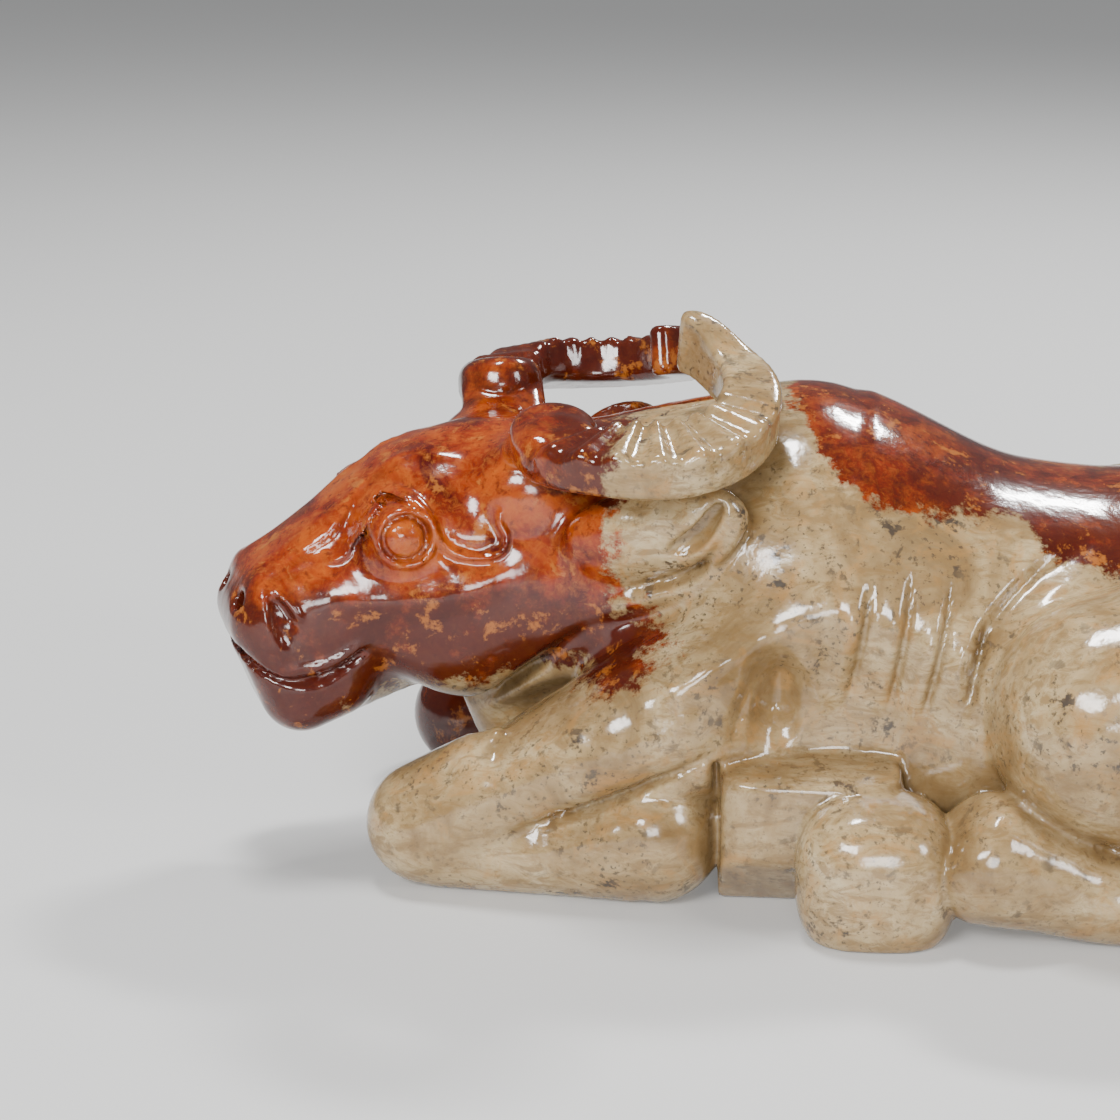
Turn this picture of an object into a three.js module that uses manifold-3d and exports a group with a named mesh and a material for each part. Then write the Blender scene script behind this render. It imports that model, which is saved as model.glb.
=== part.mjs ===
// A recumbent ox carved from one piece of stone: head to -X, its left side to -Y, underside flat on z = 0.
// Millimetres, Z up.
import * as THREE from "three";
import Module from "manifold-3d";

const wasm = await Module();
wasm.setup();

const RAD = Math.PI / 180;

// Sizes of the whole: the forms below are drawn to these and the finished figure is brought to them.
const LENGTH = 124.8;
const WIDTH = 71.9;
const HEIGHT = 54.6;

// Reach of the block the forms are drawn in.
const FRONT = -64;
const BACK_END = 68;
const SIDE_REACH = 44;
const FLOOR_REACH = -11;
const TOP_REACH = 56;

// Grid spacing of the modelled surface: fine on the head, coarse on the body.
const HEAD_STEP = 2.6;
const BODY_STEP = 7;
const HEAD_END = -16;
const STEP_CHANGE = 12;

// Trunk: x, centre height, half width, half height.
const TRUNK = [
  [-20, 15.5, 9, 12.5],
  [-10, 19, 16.5, 20],
  [0, 20.2, 22, 24],
  [12, 19, 24.2, 21.6],
  [28, 18, 25, 20.2],
  [42, 18, 24, 21],
  [52, 16.8, 20.5, 19],
  [59, 16, 15.5, 15.5],
  [63, 15.5, 9, 9],
  [64.4, 15.3, 1.5, 1.5],
];
const NECK = [
  [-1, 0, 25.3, 20.7],
  [-9, -0.5, 27.8, 17.3],
  [-21, -2, 28.8, 14],
];
const DEWLAP = [
  [-32, -3.5, 19.5, 4.6],
  [-29.5, -2.5, 13.5, 5],
  [-24, -1, 8, 8],
];

// Legs of the left side, each a chain of balls: x, y, z, radius.
const THIGH = [
  [28, -24, 20.4, 11.6],
  [36, -22.5, 20.4, 13.6],
  [46, -16.5, 20.4, 15.2],
];
const SHANK = [
  [17, -28.4, 7.9, 6.3],
  [22, -28, 6.2, 5.3],
  [28, -28, 4.3, 4.4],
  [38, -28, 4.6, 4.9],
  [50, -25.5, 7.4, 7.8],
];
const FOREARM = [
  [0, -14.5, 23, 10],
  [-14, -18.3, 16.7, 8.3],
  [-27, -18.3, 10.7, 6.8],
  [-36.9, -17.5, 5.9, 6.1],
];
const CANNON = [
  [-35, -18.4, 4.1, 4.4],
  [-24, -19.2, 4.9, 5.3],
  [-15, -19.6, 6.6, 7.2],
];
// Filling between shank and belly, closed underneath.
const FLANK = [
  [22, -20, 6.5, 6.5],
  [34, -20, 6.5, 6.5],
  [46, -18, 8, 8],
];
// Tail, laid over the rump and round the far haunch: y, z, radius, as seen from behind.
const TAIL = [
  [0, 34.5, 0.8],
  [0.3, 31.5, 2.7],
  [3.5, 24, 2.5],
  [10, 17.5, 2.3],
  [18, 13.5, 2.5],
  [25, 12.5, 3.2],
  [29, 13.5, 2],
];
const TAIL_SIDES = 6;

// Head frame: a runs forward to the nose, b to the ox's left, z up; the head is turned a little to the left.
const HEAD_TURN = 20 * RAD;
const HEAD_FOOT = new THREE.Vector3(-29.5, -1.5, 0);
const FORWARD = new THREE.Vector3(-Math.cos(HEAD_TURN), -Math.sin(HEAD_TURN), 0);
const LEFTWARD = new THREE.Vector3(Math.sin(HEAD_TURN), -Math.cos(HEAD_TURN), 0);
const UP = new THREE.Vector3(0, 0, 1);

// Forms of the head: place in the head frame, half sizes, dip of the nose end in degrees, softness of the join.
const SKULL = { at: [4, 0, 31.8], half: [13.2, 11.8, 11.2], dip: 20, soft: 4 };
const FACE = [[9.5, 0, 29.8, 11], [16.5, 0, 26.4, 9.2], [21.2, 0, 24.4, 7.6]];
const BRIDGE = { at: [17.5, 0, 31.5], half: [9.5, 4.6, 4.6], edge: 1.6, dip: 34, soft: 1.5 };
const MUZZLE = { at: [23, 0, 22], half: [5.9, 8, 8.1], edge: 4.2, dip: 21, soft: 2 };
const CHEEK = { at: [3.6, 5.6, 25.7], half: [11, 7, 8.3], dip: 35, soft: 3.5 };
const EYE_SWELLING = { at: [14, 8.4, 34.2], half: [3.6, 3.1, 3.4], dip: 20, soft: 2 };
const HORN_SWELLING = { at: [0.8, 8.2, 38], half: [5.6, 5, 5], dip: 10, soft: 2.5 };
const JAW = [[20.6, 0, 17, 3.9], [12.5, 0, 21.4, 5.2]];
const FACE_SOFT = 3;
const JAW_SOFT = 1.5;

const EYE_A = 14;
const EYE_Z = 34.2;
const EYE_RING = 2.75;
const EYE_BALL = 2.1;

// Horns: a flat slab bent round a ring, tilted down outward.
const HORN_TURN = 14 * RAD;
const HORN_TILT = 19 * RAD;
const RING_CENTRE = [-15.5, -13.5];
const RING_RADIUS = 9.35;
const HORN_START = 6 * RAD;
const RING_END = 250 * RAD;
const HORN_ROOT = [-27.5, -5.5, 39];
const HORN_LOW = 43.9;
const HORN_THICK = 4.9;
const HORN_BASE_HALF = 4.3;
const HORN_TIP_HALF = 1.2;
const HORN_TIP_LIFT = 1.4;
const HORN_TIP_SWELL = 0.33;
const HORN_CHAMFER = 0.7;
const HORN_BASE_CHAMFER = 2.1;
const RIDGES = 8;
const HORN_STATIONS = 28;
const RIDGED_SHARE = 0.66;
const HORN_SINK = 3;
const RIDGE_DEPTH = 0.75;
const FAR_HORN_DROP = 2.3;
const FAR_HORN_LEAD = 1.3;

// Ears, hooves and carved lines.
const EAR_CENTRE = [-14.6, -17.2, 35.6];
const EAR_ROOT_HALF = [7, 3, 4.4];
const EAR_LEAF_HALF = [6.6, 2.5, 4.2];
const EAR_HOLLOW_HALF = [3.2, 1.4, 1.3];
const EAR_HOLLOW_TURN = 25 * RAD;
const FAR_EAR_SHIFT = 4.5;
const EAR_AIM = [0.9, -0.2, 0.3];
const EAR_FACE = [-0.1, -0.95, -0.15];
const FORE_HOOF = { centre: [0.4, -20.3, 6.4], half: [8.8, 7.2, 10], square: 6 };
const HOOF_TOP = { y: 19, z: 15.6, slope: 11 * RAD };
const HOOF_UNDER = { y: 20.2, z: 0, slope: 41 * RAD };
const HIND_HOOF = { centre: [6.6, -27.4, 5.6], half: [7.6, 7.2, 7.8], square: 2.7 };
const HOOF_SLOT = { centre: [-8.6, -27.5, 7], half: [0.3, 5, 8] };
const HOLLOW = { centre: [3, 31, 19], half: [14, 10.5, 13] };
const HOLLOW_SOFT = 3;
const LINE_HALF = 0.55;

// Brow scroll on the side of the head: a and z along the line.
const BROW = [
  [20.8, 31.6],
  [19.3, 32.4],
  [17.2, 36.4],
  [14.6, 38.1],
  [12, 36.8],
  [10.1, 33.4],
  [7, 32.2],
  [4.6, 33.2],
  [5, 36.2],
];

const lerp = (a, b, t) => a + (b - a) * t;
const clamp = (v, lo, hi) => Math.min(hi, Math.max(lo, v));
function smooth(v, lo, hi) {
  const t = clamp((v - lo) / (hi - lo), 0, 1);
  return t * t * (3 - 2 * t);
}

// Catmull-Rom curve through rows of any length, steps rows per span.
function spline(rows, steps) {
  const last = rows.length - 1;
  const row = (i) => {
    if (i < 0) return rows[0].map((v, n) => 2 * v - rows[1][n]);
    if (i > last) return rows[last].map((v, n) => 2 * v - rows[last - 1][n]);
    return rows[i];
  };
  const out = [];
  for (let i = 0; i < last; i++) {
    const [p, q, r, s] = [row(i - 1), row(i), row(i + 1), row(i + 2)];
    for (let j = 0; j < steps; j++) {
      const t = j / steps;
      out.push(
        q.map((v, n) => {
          const slope = (r[n] - p[n]) * t;
          const bend = (2 * p[n] - 5 * v + 4 * r[n] - s[n]) * t * t;
          const twist = (3 * v - p[n] - 3 * r[n] + s[n]) * t * t * t;
          return 0.5 * (2 * v + slope + bend + twist);
        }),
      );
    }
  }
  out.push(rows[last]);
  return out;
}

const mirrored = (rows) => rows.map(([x, y, z, r]) => [x, -y, z, r]);
const sideOf = (rows, side) => (side > 0 ? mirrored(rows) : rows);

// Point in the head frame.
const headPoint = (a, b, z) =>
  HEAD_FOOT.clone().addScaledVector(FORWARD, a).addScaledVector(LEFTWARD, b).setZ(z);
const headRows = (rows) =>
  rows.map(([a, b, z, r]) => {
    const p = headPoint(a, b, z);
    return [p.x, p.y, p.z, r];
  });

// Axes of a form in the head frame, nose end dipped by degrees.
function headAxes(dip) {
  const t = dip * RAD;
  return [
    FORWARD.clone().multiplyScalar(Math.cos(t)).addScaledVector(UP, -Math.sin(t)),
    LEFTWARD,
    FORWARD.clone().multiplyScalar(Math.sin(t)).addScaledVector(UP, Math.cos(t)),
  ];
}
const WORLD_AXES = [new THREE.Vector3(1, 0, 0), new THREE.Vector3(0, 1, 0), UP];

// Coordinates of x, y, z in axes about a centre.
function local(x, y, z, centre, axes) {
  const [dx, dy, dz] = [x - centre[0], y - centre[1], z - centre[2]];
  return axes.map((v) => v.x * dx + v.y * dy + v.z * dz);
}

// Forms: each gives a signed distance and the box it lies in.
function chain(rows) {
  const run = spline(rows, 5);
  const at = (x, y, z) => {
    let best = Infinity;
    for (let i = 1; i < run.length; i++) {
      const [p, q] = [run[i - 1], run[i]];
      const d = [q[0] - p[0], q[1] - p[1], q[2] - p[2]];
      const r = [x - p[0], y - p[1], z - p[2]];
      const square = d[0] * d[0] + d[1] * d[1] + d[2] * d[2];
      const t = clamp((r[0] * d[0] + r[1] * d[1] + r[2] * d[2]) / square, 0, 1);
      const far = Math.hypot(r[0] - t * d[0], r[1] - t * d[1], r[2] - t * d[2]);
      best = Math.min(best, far - lerp(p[3], q[3], t));
    }
    return best;
  };
  const lo = [0, 1, 2].map((n) => Math.min(...run.map((p) => p[n] - p[3])));
  const hi = [0, 1, 2].map((n) => Math.max(...run.map((p) => p[n] + p[3])));
  return { at, lo, hi };
}

function ellipsoid(centre, half, axes = WORLD_AXES) {
  const at = (x, y, z) => {
    const q = local(x, y, z, centre, axes);
    const near = Math.hypot(q[0] / half[0], q[1] / half[1], q[2] / half[2]);
    const slope = Math.hypot(q[0] / half[0] ** 2, q[1] / half[1] ** 2, q[2] / half[2] ** 2);
    return (near * (near - 1)) / (slope + 1e-6);
  };
  const reach = Math.max(...half);
  return { at, lo: centre.map((v) => v - reach), hi: centre.map((v) => v + reach) };
}

function roundedBox(centre, half, round, axes = WORLD_AXES) {
  const at = (x, y, z) => {
    const q = local(x, y, z, centre, axes).map((v, n) => Math.abs(v) - half[n] + round);
    const out = Math.hypot(Math.max(q[0], 0), Math.max(q[1], 0), Math.max(q[2], 0));
    return out + Math.min(Math.max(...q), 0) - round;
  };
  const reach = Math.hypot(...half);
  return { at, lo: centre.map((v) => v - reach), hi: centre.map((v) => v + reach) };
}

function trunk() {
  const run = spline(TRUNK, 6);
  const [first, last] = [run[0], run[run.length - 1]];
  const at = (x, y, z) => {
    let i = 1;
    while (i < run.length - 1 && run[i][0] < x) i++;
    const t = clamp((x - run[i - 1][0]) / (run[i][0] - run[i - 1][0]), 0, 1);
    const [centre, wide, high] = [1, 2, 3].map((n) => lerp(run[i - 1][n], run[i][n], t));
    const past = Math.max(0, first[0] - x, x - last[0]);
    return (Math.hypot(y / wide, (z - centre) / high) - 1) * Math.min(wide, high) * 0.95 + past;
  };
  const most = (value) => Math.max(...run.map(value));
  const side = most((row) => row[2]);
  const low = -most((row) => row[3] - row[1]);
  return { at, lo: [first[0], -side, low], hi: [last[0], side, most((row) => row[1] + row[3])] };
}

// Spacing along one axis: fine below a limit, coarse beyond it.
function spacing(lo, hi, fine, coarse, limit) {
  const out = [lo];
  while (out[out.length - 1] < hi) {
    const at = out[out.length - 1];
    out.push(at + lerp(fine, coarse, smooth(at, limit, limit + STEP_CHANGE)));
  }
  return out;
}

// Even spacing that runs from the middle to both sides.
function mirroredSpacing(reach, fine, coarse, limit) {
  const half = spacing(fine / 2, reach, fine, coarse, limit);
  return [...half.map((v) => -v).reverse(), ...half];
}

// A block of signed distances that forms are blended into.
class Clay {
  constructor(xs, ys, zs) {
    this.axes = [xs, ys, zs];
    this.size = [xs.length, ys.length, zs.length];
    this.field = new Float64Array(xs.length * ys.length * zs.length).fill(9);
  }
  index(i, j, k) {
    return (i * this.size[1] + j) * this.size[2] + k;
  }
  blend(form, soft, cutting) {
    const pad = 4 + soft;
    const range = this.axes.map((axis, n) => {
      const inside = axis.map((v, i) => [v, i]).filter(([v]) => v > form.lo[n] - pad && v < form.hi[n] + pad);
      return inside.map(([, i]) => i);
    });
    for (const i of range[0]) {
      for (const j of range[1]) {
        for (const k of range[2]) {
          const at = this.index(i, j, k);
          const d = form.at(this.axes[0][i], this.axes[1][j], this.axes[2][k]);
          const old = this.field[at];
          const other = cutting ? -d : d;
          const sign = cutting ? -1 : 1;
          const h = clamp(0.5 + (0.5 * sign * (old - other)) / soft, 0, 1);
          this.field[at] = lerp(old, other, h) - sign * soft * h * (1 - h);
        }
      }
    }
  }
  add(form, soft) {
    this.blend(form, soft, false);
  }
  cut(form, soft) {
    this.blend(form, soft, true);
  }
  // Value between grid points.
  sample(p) {
    const cell = this.axes.map((axis, n) => {
      let i = 1;
      while (i < axis.length - 1 && axis[i] < p.getComponent(n)) i++;
      return [i - 1, (p.getComponent(n) - axis[i - 1]) / (axis[i] - axis[i - 1])];
    });
    let sum = 0;
    for (let c = 0; c < 8; c++) {
      const bits = [c & 1, (c >> 1) & 1, (c >> 2) & 1];
      const share = bits.reduce((s, bit, n) => s * (bit ? cell[n][1] : 1 - cell[n][1]), 1);
      sum += share * this.field[this.index(cell[0][0] + bits[0], cell[1][0] + bits[1], cell[2][0] + bits[2])];
    }
    return sum;
  }
  // First point of the surface met from a start along a direction.
  meet(start, direction) {
    const p = start.clone();
    for (let i = 0; i < 200 && this.sample(p) > 0; i++) p.addScaledVector(direction, 0.2);
    return p;
  }
}

// Fills the corner of any grid face whose inside and outside corners are crossed.
function settle(clay) {
  const [nx, ny, nz] = clay.size;
  const f = clay.field;
  const pairs = [
    [[1, 0, 0], [0, 1, 0]],
    [[1, 0, 0], [0, 0, 1]],
    [[0, 1, 0], [0, 0, 1]],
  ];
  let changed = true;
  while (changed) {
    changed = false;
    for (let i = 0; i < nx - 1; i++) {
      for (let j = 0; j < ny - 1; j++) {
        for (let k = 0; k < nz - 1; k++) {
          for (const [u, v] of pairs) {
            const a = clay.index(i, j, k);
            const b = clay.index(i + u[0], j + u[1], k + u[2]);
            const c = clay.index(i + v[0], j + v[1], k + v[2]);
            const d = clay.index(i + u[0] + v[0], j + u[1] + v[1], k + u[2] + v[2]);
            const crossed = f[a] < 0 === f[d] < 0 && f[b] < 0 === f[c] < 0 && f[a] < 0 !== f[b] < 0;
            if (!crossed) continue;
            const outside = f[a] < 0 ? [b, c] : [a, d];
            const lower = f[outside[0]] < f[outside[1]] ? outside[0] : outside[1];
            f[lower] = -0.05;
            changed = true;
          }
        }
      }
    }
  }
}

// One vertex in each cell the surface crosses, one quad on each grid edge it crosses.
function skin(clay) {
  settle(clay);
  const [nx, ny, nz] = clay.size;
  const { axes, field } = clay;
  const ids = new Map();
  const sums = [];
  const faces = [];
  const corner = (cell, point) => {
    const key = clay.index(...cell);
    if (!ids.has(key)) {
      ids.set(key, sums.length);
      sums.push([0, 0, 0, 0]);
    }
    const sum = sums[ids.get(key)];
    point.forEach((v, n) => (sum[n] += v));
    sum[3] += 1;
    return ids.get(key);
  };
  for (let i = 1; i < nx - 1; i++) {
    for (let j = 1; j < ny - 1; j++) {
      for (let k = 1; k < nz - 1; k++) {
        for (let n = 0; n < 3; n++) {
          const here = [i, j, k];
          const next = here.slice();
          next[n] += 1;
          const fa = field[clay.index(...here)];
          const fb = field[clay.index(...next)];
          if (fa < 0 === fb < 0) continue;
          const point = here.map((v, m) => axes[m][v]);
          point[n] = lerp(axes[n][here[n]], axes[n][next[n]], fa / (fa - fb));
          const [u, v] = [(n + 1) % 3, (n + 2) % 3];
          const round = [[0, 0], [-1, 0], [-1, -1], [0, -1]].map(([du, dv]) => {
            const cell = here.slice();
            cell[u] += du;
            cell[v] += dv;
            return corner(cell, point);
          });
          if (fa > 0) round.reverse();
          faces.push(round);
        }
      }
    }
  }
  const points = sums.map(([x, y, z, count]) => [x / count, y / count, z / count]);
  return { points, faces };
}

// A closed solid from points and faces of three or four corners.
function solidFrom(points, faces) {
  const triangles = [];
  for (const face of faces) {
    const gap = (a, b) => Math.hypot(...points[face[a]].map((v, n) => v - points[face[b]][n]));
    const start = face.length === 4 && gap(1, 3) < gap(0, 2) ? 1 : 0;
    const turned = face.map((_, i) => face[(i + start) % face.length]);
    for (let i = 1; i < turned.length - 1; i++) triangles.push(turned[0], turned[i], turned[i + 1]);
  }
  const body = new wasm.Manifold(
    new wasm.Mesh({
      numProp: 3,
      vertProperties: new Float32Array(points.flat()),
      triVerts: new Uint32Array(triangles),
    }),
  );
  return body;
}

// A solid from rings of points of one length, ends closed.
function loft(rings) {
  const count = rings[0].length;
  const points = rings.flat();
  const faces = [];
  for (let i = 0; i < rings.length - 1; i++) {
    for (let j = 0; j < count; j++) {
      const next = (j + 1) % count;
      faces.push([i * count + j, i * count + next, (i + 1) * count + next, (i + 1) * count + j]);
    }
  }
  const last = (rings.length - 1) * count;
  faces.push([...Array(count).keys()].reverse());
  faces.push([...Array(count).keys()].map((j) => last + j));
  const body = solidFrom(points, faces);
  if (body.volume() > 0) return body;
  return solidFrom(points, faces.map((face) => face.slice().reverse()));
}

// A three.js shape as a solid.
function solidOf(geometry, matrix) {
  const shape = geometry.index ? geometry.toNonIndexed() : geometry;
  shape.applyMatrix4(matrix);
  const position = shape.attributes.position;
  const keys = new Map();
  const points = [];
  const corners = [];
  for (let i = 0; i < position.count; i++) {
    const p = [position.getX(i), position.getY(i), position.getZ(i)];
    const key = p.map((v) => Math.round(v * 1e4)).join(" ");
    if (!keys.has(key)) {
      keys.set(key, points.length);
      points.push(p);
    }
    corners.push(keys.get(key));
  }
  const faces = [];
  for (let i = 0; i < corners.length; i += 3) {
    const face = corners.slice(i, i + 3);
    if (new Set(face).size === 3) faces.push(face);
  }
  return solidFrom(points, faces);
}

// A thin bar with a four-sided section that follows points on the surface.
function bar(path, outward, half, rise) {
  const rings = path.map((p, i) => {
    const ahead = path[Math.min(i + 1, path.length - 1)];
    const behind = path[Math.max(i - 1, 0)];
    const along = ahead.clone().sub(behind).normalize();
    const across = new THREE.Vector3().crossVectors(along, outward).normalize();
    const end = i === 0 || i === path.length - 1 ? 0.35 : 1;
    return [
      p.clone().addScaledVector(outward, rise * end),
      p.clone().addScaledVector(across, half * end),
      p.clone().addScaledVector(outward, -half * 1.5),
      p.clone().addScaledVector(across, -half * end),
    ].map((v) => v.toArray());
  });
  return loft(rings);
}

function bodyClay() {
  const xs = spacing(FRONT, BACK_END, HEAD_STEP, BODY_STEP, HEAD_END);
  const ys = mirroredSpacing(SIDE_REACH, HEAD_STEP * 1.15, BODY_STEP * 0.85, 14);
  const zs = spacing(FLOOR_REACH, TOP_REACH, HEAD_STEP * 1.2, HEAD_STEP * 1.2, 0);
  const clay = new Clay(xs, ys, zs);
  clay.add(trunk(), 1);
  clay.add(chain(NECK), 6);
  clay.add(chain(DEWLAP), 5);
  for (const side of [-1, 1]) {
    clay.add(chain(sideOf(THIGH, side)), 0.8);
    clay.add(chain(sideOf(FLANK, side)), 2);
    clay.add(chain(sideOf(SHANK, side)), 0.9);
    clay.add(chain(sideOf(FOREARM, side)), 2.5);
    clay.add(chain(sideOf(CANNON, side)), 0.6);
    const [x, y, z] = HOLLOW.centre;
    clay.cut(ellipsoid([x, y * side, z], HOLLOW.half), HOLLOW_SOFT);
  }
  addHead(clay);
  return clay;
}

function addHead(clay) {
  const put = ({ at, half, edge, dip, soft }, side = 1) => {
    const centre = headPoint(at[0], at[1] * side, at[2]).toArray();
    const axes = headAxes(dip);
    clay.add(edge ? roundedBox(centre, half, edge, axes) : ellipsoid(centre, half, axes), soft);
  };
  put(SKULL);
  clay.add(chain(headRows(FACE)), FACE_SOFT);
  put(BRIDGE);
  put(MUZZLE);
  for (const side of [-1, 1]) {
    put(CHEEK, side);
    put(EYE_SWELLING, side);
    put(HORN_SWELLING, side);
  }
  clay.add(chain(headRows(JAW)), JAW_SOFT);
}

// Direction across the horns, to the left of the ox.
const ACROSS = new THREE.Vector3(Math.sin(HORN_TURN), -Math.cos(HORN_TURN), 0);
function acrossHorns(v) {
  return v.clone().addScaledVector(ACROSS, -2 * v.dot(ACROSS));
}

// Left horn's centre line, half width and place along its length.
function hornLine() {
  const rows = [[...HORN_ROOT, HORN_BASE_HALF, 0]];
  for (let i = 0; i <= HORN_STATIONS; i++) {
    const t = i / HORN_STATIONS;
    const turn = lerp(HORN_START, RING_END, t);
    const x = RING_CENTRE[0] - RING_RADIUS * Math.cos(turn);
    const y = RING_CENTRE[1] - RING_RADIUS * Math.sin(turn);
    const rise = Math.tan(HORN_TILT) * (y - RING_CENTRE[1] + RING_RADIUS);
    const sink = HORN_SINK * (1 - smooth(t, 0, 0.3));
    const half = lerp(HORN_BASE_HALF, HORN_TIP_HALF, 0.4 * t + 0.6 * t ** 3.5);
    rows.push([x, y, HORN_LOW + rise - sink, half, t]);
  }
  return rows;
}

function horn(side) {
  const tilt = side < 0 ? ACROSS : ACROSS.clone().negate();
  const normal = UP.clone().multiplyScalar(Math.cos(HORN_TILT)).addScaledVector(tilt, Math.sin(HORN_TILT));
  const centres = hornLine().map(([x, y, z, half, t]) => {
    const p = new THREE.Vector3(x, y, z).sub(HEAD_FOOT);
    if (side > 0) {
      p.copy(acrossHorns(p));
      p.z -= FAR_HORN_DROP * smooth(t, 0.2, 0.9);
      p.addScaledVector(FORWARD, FAR_HORN_LEAD * (1 - t));
    }
    p.z += HORN_TIP_LIFT * smooth(t, 0.86, 1);
    return { p: p.add(HEAD_FOOT), half, t };
  });
  const rings = centres.map(({ p, half, t }, i) => {
    const ahead = centres[Math.min(i + 1, centres.length - 1)].p;
    const behind = centres[Math.max(i - 1, 0)].p;
    const out = new THREE.Vector3().crossVectors(ahead.clone().sub(behind), normal).normalize();
    const wave = 0.5 - 0.5 * Math.cos(2 * Math.PI * RIDGES * (t / RIDGED_SHARE));
    const groove = t > 0.02 && t < RIDGED_SHARE ? RIDGE_DEPTH * wave : 0;
    const high = (HORN_THICK / 2) * (1 + HORN_TIP_SWELL * smooth(t, 0.82, 1));
    const cut = Math.min(lerp(HORN_BASE_CHAMFER, HORN_CHAMFER, smooth(t, 0.05, 0.35)), half * 0.6);
    const section = [
      [-half, cut - high],
      [-half, high - cut - groove],
      [cut - half, high - groove],
      [half - cut * 1.5, high - groove * 0.3],
      [half, high - cut * 1.5],
      [half, cut - high],
      [half - cut, -high],
      [cut - half, -high],
    ];
    return section.map(([u, v]) => p.clone().addScaledVector(out, u).addScaledVector(normal, v).toArray());
  });
  return loft(rings);
}

// An ear that lies back under the horn, with a leaf-shaped hollow.
function ear(side) {
  const flip = (v) => (side > 0 ? acrossHorns(v) : v);
  const centre = flip(new THREE.Vector3(...EAR_CENTRE).sub(HEAD_FOOT)).add(HEAD_FOOT);
  if (side > 0) centre.addScaledVector(ACROSS, FAR_EAR_SHIFT);
  const aim = flip(new THREE.Vector3(...EAR_AIM)).normalize();
  const face = flip(new THREE.Vector3(...EAR_FACE));
  face.addScaledVector(aim, -face.dot(aim)).normalize();
  const edge = new THREE.Vector3().crossVectors(aim, face);
  const place = (scale, at) =>
    new THREE.Matrix4()
      .makeBasis(aim, face, edge)
      .setPosition(at)
      .multiply(new THREE.Matrix4().makeScale(...scale));
  const ball = (half, along, out) => {
    const at = centre.clone().addScaledVector(aim, along).addScaledVector(face, out);
    return solidOf(new THREE.SphereGeometry(1, 10, 6), place(half, at));
  };
  const leaf = ball(EAR_ROOT_HALF, -3, -0.6).add(ball(EAR_LEAF_HALF, 2.4, 0));
  aim.applyAxisAngle(face, side * EAR_HOLLOW_TURN);
  edge.crossVectors(aim, face);
  return leaf.subtract(ball(EAR_HOLLOW_HALF, 3.6, 2.6));
}

// A rounded block: a ball drawn out towards the corners of a box, the more the squarer.
function hoof({ centre, half, square }, side) {
  const geometry = new THREE.SphereGeometry(1, 12, 8);
  const position = geometry.attributes.position;
  for (let i = 0; i < position.count; i++) {
    const p = [position.getX(i), position.getY(i), position.getZ(i)];
    const reach = p.reduce((sum, v) => sum + Math.abs(v) ** square, 0) ** (1 / square);
    position.setXYZ(i, ...p.map((v, n) => (v / reach) * half[n]));
  }
  return solidOf(geometry, new THREE.Matrix4().makeTranslation(centre[0], centre[1] * -side, centre[2]));
}

// A half space as a large block whose face passes through a point, turned about X.
function slab(side, { y, z, slope }) {
  const reach = 40;
  const shape = new THREE.BoxGeometry(reach, reach, reach).translate(0, 0, reach / 2);
  const turn = new THREE.Matrix4().makeRotationX(-side * slope);
  return solidOf(shape, new THREE.Matrix4().makeTranslation(0, y * side, z).multiply(turn));
}

// The fore hoof has a flat top that slopes outward and an underside rounded back under it.
function foreHoof(side) {
  const under = { ...HOOF_UNDER, slope: HOOF_UNDER.slope - Math.PI };
  return hoof(FORE_HOOF, side).subtract(slab(side, HOOF_TOP)).subtract(slab(side, under));
}

function slot(side) {
  const { centre, half } = HOOF_SLOT;
  const shape = new THREE.BoxGeometry(...half.map((v) => 2 * v));
  return solidOf(shape, new THREE.Matrix4().makeTranslation(centre[0], centre[1] * -side, centre[2]));
}

// A line drawn on the side of the head, from rows of a and z.
function headPath(clay, rows, side, steps) {
  const inward = LEFTWARD.clone().multiplyScalar(-side);
  return spline(rows, steps).map(([a, z]) => clay.meet(headPoint(a, 22 * side, z), inward));
}

function carveHead(clay, body) {
  let out = body;
  for (const side of [-1, 1]) {
    const outward = LEFTWARD.clone().multiplyScalar(side);
    const eye = clay.meet(headPoint(EYE_A, 22 * side, EYE_Z), outward.clone().negate());
    const facing = new THREE.Matrix4().makeBasis(FORWARD, UP, outward.clone()).setPosition(eye);
    if (facing.determinant() < 0) facing.makeBasis(FORWARD.clone().negate(), UP, outward).setPosition(eye);
    out = out.add(solidOf(new THREE.TorusGeometry(EYE_RING, 0.6, 4, 12), facing));
    out = out.add(solidOf(new THREE.SphereGeometry(EYE_BALL, 8, 5), facing));
    out = out.add(bar(headPath(clay, BROW, side, 1), outward, LINE_HALF, 0.5));
    const mouth = [[27.5, 21.2], [25.6, 20], [21, 20.4], [17, 22.8]];
    out = out.subtract(bar(headPath(clay, mouth, side, 1), outward, LINE_HALF * 1.4, 0.8));
    const nostril = [[26.2, 28.4], [24.9, 27.2], [23.9, 25.4]];
    out = out.subtract(bar(headPath(clay, nostril, side, 1), outward, LINE_HALF * 1.3, 0.8));
  }
  return out;
}

// Lines cut in the sides, as x and height along the line: four over the ribs, one along the foreleg.
const SIDE_LINES = [
  [[4.9, 33], [4.4, 28], [3.6, 20.2]],
  [[9.1, 33.4], [8.4, 27], [7.3, 19.4]],
  [[12.9, 32.2], [12, 26.5], [10.5, 18.5]],
  [[16.1, 28], [15.6, 25], [14.6, 21]],
  [[-30, 6.2], [-24.8, 8.4], [-19, 10.9], [-13.6, 13.7], [-8.6, 16.2]],
];
function carveSides(clay, body) {
  let out = body;
  for (const side of [-1, 1]) {
    const outward = new THREE.Vector3(0, side, 0);
    for (const line of SIDE_LINES) {
      const path = line.map(([x, z]) => {
        return clay.meet(new THREE.Vector3(x, SIDE_REACH * side, z), outward.clone().negate());
      });
      out = out.subtract(bar(path, outward, LINE_HALF * 1.3, 1));
    }
  }
  return out;
}

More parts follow.
